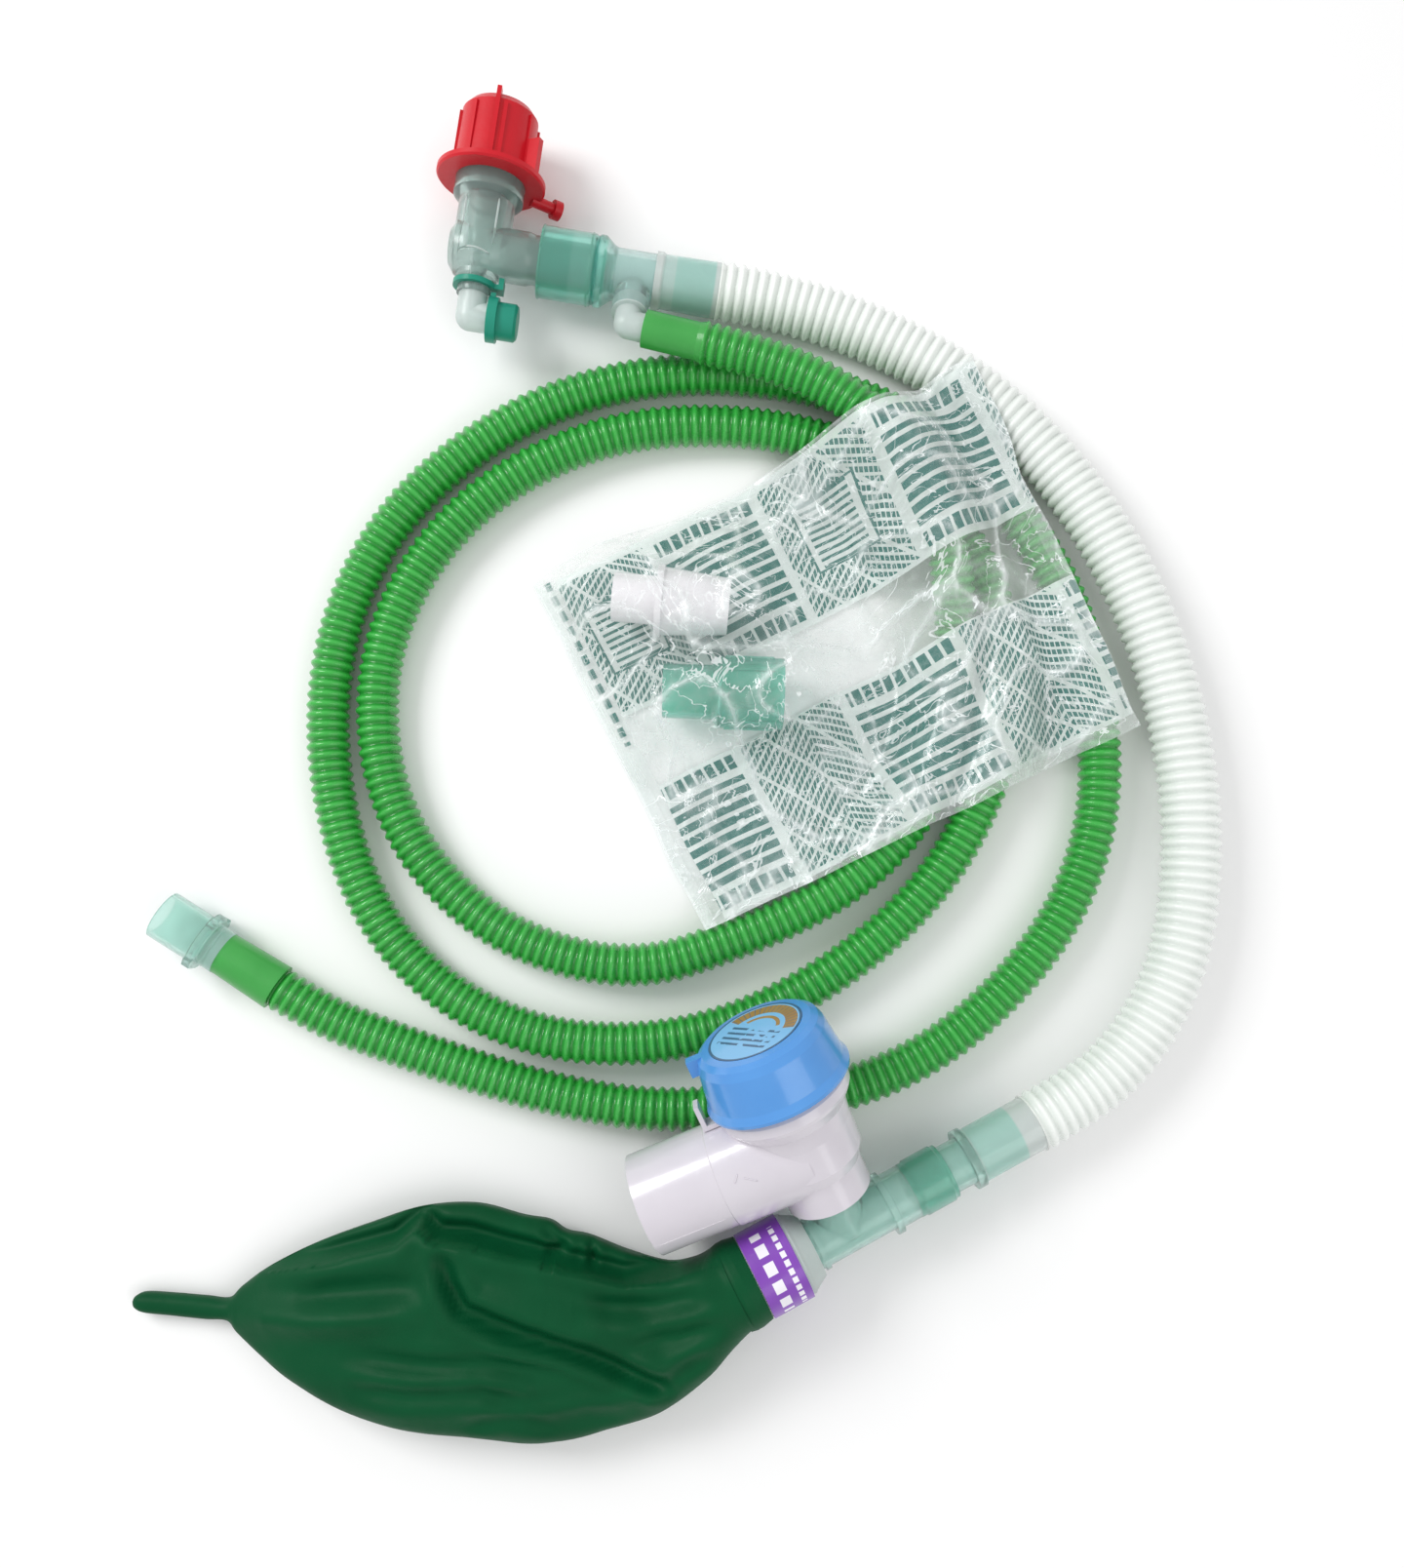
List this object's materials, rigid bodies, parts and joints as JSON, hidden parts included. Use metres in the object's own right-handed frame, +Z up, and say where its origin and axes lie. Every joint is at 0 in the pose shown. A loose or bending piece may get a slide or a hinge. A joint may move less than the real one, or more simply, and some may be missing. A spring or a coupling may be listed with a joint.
{
  "type": "breathing circuit",
  "caption": "T-piece breathing circuit: two corrugated hoses, pressure relief valve with knob, reservoir bag, capped patient elbow and a film pouch of adapters.",
  "frame": {"origin": "centre of the box of everything but the hoses and what is on their free end, at the surface that it lies on", "axes": "+Z up, +Y towards the patient port, +X towards the breathing hose's bend"},
  "size_m": [0.3312, 0.406, 0.058],
  "materials": {
    "clear_teal": "translucent moulded polypropylene, faint teal tint",
    "deep_teal": "teal-green moulded plastic",
    "clear_plastic": "milky translucent polyethylene",
    "clear_grey": "translucent grey-teal moulded plastic",
    "bright_green": "bright green translucent corrugated tube",
    "white_hose": "white translucent corrugated tube",
    "red_cap": "soft red moulded cap",
    "dark_green": "dark teal-green moulded cap",
    "white_gloss": "glossy white moulding",
    "knob_blue": "glossy blue knob",
    "label_white": null,
    "purple_band": null,
    "bag_green": "matt dark green rubber",
    "spring_steel": "stainless wire",
    "clear_film": null
  },
  "bodies": {
    "base": {"patient_tee": "clear_teal", "gas_inlet_nipple": "clear_plastic", "fresh_gas_cuff_patient": "bright_green", "fresh_gas_hose": "bright_green", "fresh_gas_cuff_machine": "bright_green", "machine_connector": "clear_teal", "breathing_cuff_patient": "white_hose", "breathing_hose": "white_hose", "breathing_cuff_bag": "white_hose", "straight_connector": "clear_teal", "connector_sleeve": "deep_teal", "bag_tee": "clear_teal", "bag_bush": "clear_plastic", "bag_label_band": "purple_band", "bag_neck_ring": "bag_green", "reservoir_bag": "bag_green"},
    "elbow": {"patient_elbow": "clear_grey", "sampling_nipple": "clear_plastic", "port_cap_strap": "dark_green"},
    "dust_cap": {"red_dust_cap": "red_cap"},
    "sampling_cap": {"port_cap": "dark_green"},
    "valve": {"valve_body": "white_gloss", "valve_seat": "clear_plastic", "valve_bonnet": "white_gloss", "outlet_clip": "white_gloss", "valve_spring": "spring_steel"},
    "knob": {"valve_knob": "knob_blue", "knob_label": "label_white"},
    "spindle": {"valve_spindle": "white_gloss"},
    "disc": {"valve_disc": "clear_plastic"},
    "pouch": {"pouch_lower_film": "clear_film", "pouch_upper_film": "clear_film", "white_adapter": "white_gloss", "teal_adapter": "deep_teal"}
  },
  "joints": [
    {"name": "elbow_swivel", "type": "hinge", "parent": "base", "child": "elbow", "pos_m": [-0.03189, 0.15185, 0.01646], "axis": [0.9875, -0.1311, -0.0874], "range_deg": [0, 45]},
    {"name": "dust_cap_pull", "type": "slide", "parent": "elbow", "child": "dust_cap", "axis": [0.1316, 0.9913, 0], "range_m": [0, 0.05]},
    {"name": "sampling_cap_flip", "type": "hinge", "parent": "elbow", "child": "sampling_cap", "pos_m": [-0.0461, 0.14021, 0.01756], "axis": [0.0866, -0.0115, 0.9962], "range_deg": [0, 45]},
    {"name": "valve_swivel", "type": "hinge", "parent": "base", "child": "valve", "pos_m": [0.0612, -0.14441, 0.01728], "axis": [-0.3967, 0.8491, 0.3488], "range_deg": [0, 90]},
    {"name": "knob_turn", "type": "hinge", "parent": "valve", "child": "knob", "pos_m": [0.0612, -0.14441, 0.01728], "axis": [0.3967, -0.8491, -0.3488], "range_deg": [0, 270]},
    {"name": "spindle_slide", "type": "slide", "parent": "valve", "child": "spindle", "axis": [0.3967, -0.8491, -0.3488], "range_m": [0, 0.006], "deforming": ["valve_spring"]},
    {"name": "disc_lift", "type": "slide", "parent": "valve", "child": "disc", "axis": [-0.3967, 0.8491, 0.3488], "range_m": [0, 0.003], "stiffness_N_per_m": 60, "springref_m": -0.005, "deforming": ["valve_spring"]},
    {"name": "pouch_lift", "type": "slide", "parent": "base", "child": "pouch", "axis": [0, 0, 1], "range_m": [0, 0.08]}
  ],
  "couplings": [
    {"joint": "spindle_slide", "follows": "knob_turn", "m_per_rad": 0.0012732}
  ]
}
